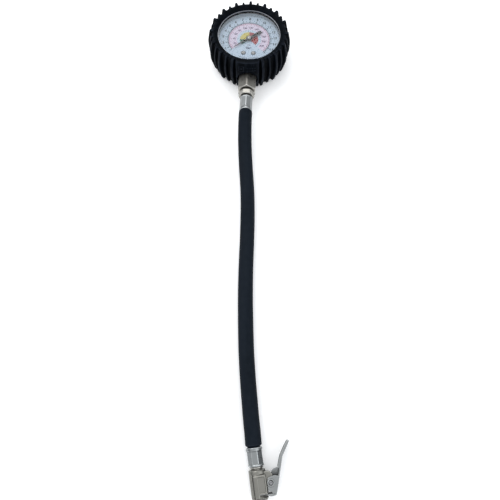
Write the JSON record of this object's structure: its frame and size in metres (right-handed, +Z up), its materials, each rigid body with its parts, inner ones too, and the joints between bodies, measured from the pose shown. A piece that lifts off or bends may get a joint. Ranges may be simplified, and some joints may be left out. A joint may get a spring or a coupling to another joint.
{
  "type": "tire pressure gauge",
  "caption": "Dial pressure gauge in a round ribbed rubber boot, with a short hose and a clip-on valve chuck, lying on its back.",
  "frame": {"origin": "centre of the boot's flat back face, on the surface that the gauge lies on", "axes": "+Z up through the dial along the pointer's axis, -Y along the stem towards the hose, +Y to the top of the dial, +X to the dial's right"},
  "size_m": [0.0887, 0.4568, 0.0376],
  "materials": {
    "boot_rubber": "moulded black rubber with a dull sheen",
    "seal_rubber": "soft black sealing rubber",
    "hose_rubber": "smooth extruded black rubber hose",
    "case_steel": "pressed and plated sheet steel",
    "bezel_steel": "rolled bright steel ring",
    "screw_steel": "zinc plated screws",
    "lens_clear": "clear window",
    "dial_white": "white enamelled aluminium with printed scales",
    "nickel_screw": "bright plated domed screws",
    "socket_brass": "machined brass",
    "movement_brass": "stamped clock brass",
    "tube_bronze": "phosphor bronze",
    "arbor_steel": "turned steel",
    "pointer_black": "satin black paint",
    "cap_metal": "bright pressed hub",
    "nickel_plate": "dull nickel plate with fine turning marks",
    "ferrule_zinc": "crimped zinc plated steel",
    "lever_steel": "pressed zinc plated steel"
  },
  "bodies": {
    "gauge": {"rubber_boot": "boot_rubber", "case_shell": "case_steel", "blowout_plug": "seal_rubber", "case_screw_1": "screw_steel", "case_screw_2": "screw_steel", "bezel_ring": "bezel_steel", "lens_gasket": "seal_rubber", "lens": "lens_clear", "dial_plate": "dial_white", "dial_screw_1": "nickel_screw", "dial_screw_2": "nickel_screw", "socket": "socket_brass", "bourdon_tube": "tube_bronze", "movement_back_plate": "movement_brass", "movement_front_plate": "movement_brass", "movement_pillar_1": "movement_brass", "movement_pillar_2": "movement_brass", "movement_pillar_3": "movement_brass", "movement_screw_1": "screw_steel", "movement_screw_2": "screw_steel", "hairspring": "tube_bronze", "hex_coupling": "nickel_plate", "hose_nipple": "nickel_plate", "upper_ferrule": "ferrule_zinc", "hose": "hose_rubber", "lower_ferrule": "ferrule_zinc", "chuck_nipple": "nickel_plate", "chuck_body": "nickel_plate", "valve_seal": "seal_rubber", "depressor_pin": "socket_brass", "lever_pin": "arbor_steel", "lever_spring": "arbor_steel"},
    "pointer": {"pointer": "pointer_black", "pointer_cap": "cap_metal", "pinion_arbor": "arbor_steel"},
    "sector": {"sector_gear": "movement_brass", "sector_arbor": "arbor_steel", "tail_pin": "arbor_steel"},
    "tube_end": {"link": "movement_brass", "link_pin": "arbor_steel", "tube_tip": "movement_brass"},
    "lever": {"clip_lever": "lever_steel"}
  },
  "joints": [
    {"name": "pointer_turn", "type": "hinge", "parent": "gauge", "child": "pointer", "pos_m": [0, 0, 0.027], "axis": [0, 0, -1], "range_deg": [0, 262.8], "stiffness_Nm_per_rad": 0.00002, "deforming": ["hairspring"]},
    {"name": "sector_turn", "type": "hinge", "parent": "gauge", "child": "sector", "pos_m": [0.0075, -0.0066, 0.0171], "axis": [0, 0, 1], "range_deg": [0, 29.27]},
    {"name": "tube_tip_travel", "type": "slide", "parent": "gauge", "child": "tube_end", "axis": [0.8, 0.6, 0], "range_m": [0, 0.00302], "stiffness_N_per_m": 200, "deforming": ["bourdon_tube"]},
    {"name": "lever_swing", "type": "hinge", "parent": "gauge", "child": "lever", "pos_m": [0.03406, -0.40208, 0.0066], "axis": [0, 0, 1], "range_deg": [0, 12], "stiffness_Nm_per_rad": 0.02, "deforming": ["lever_spring"]}
  ],
  "couplings": [
    {"joint": "pointer_turn", "follows": "tube_tip_travel", "rad_per_m": 1516.3},
    {"joint": "sector_turn", "follows": "tube_tip_travel", "rad_per_m": 168.48}
  ]
}
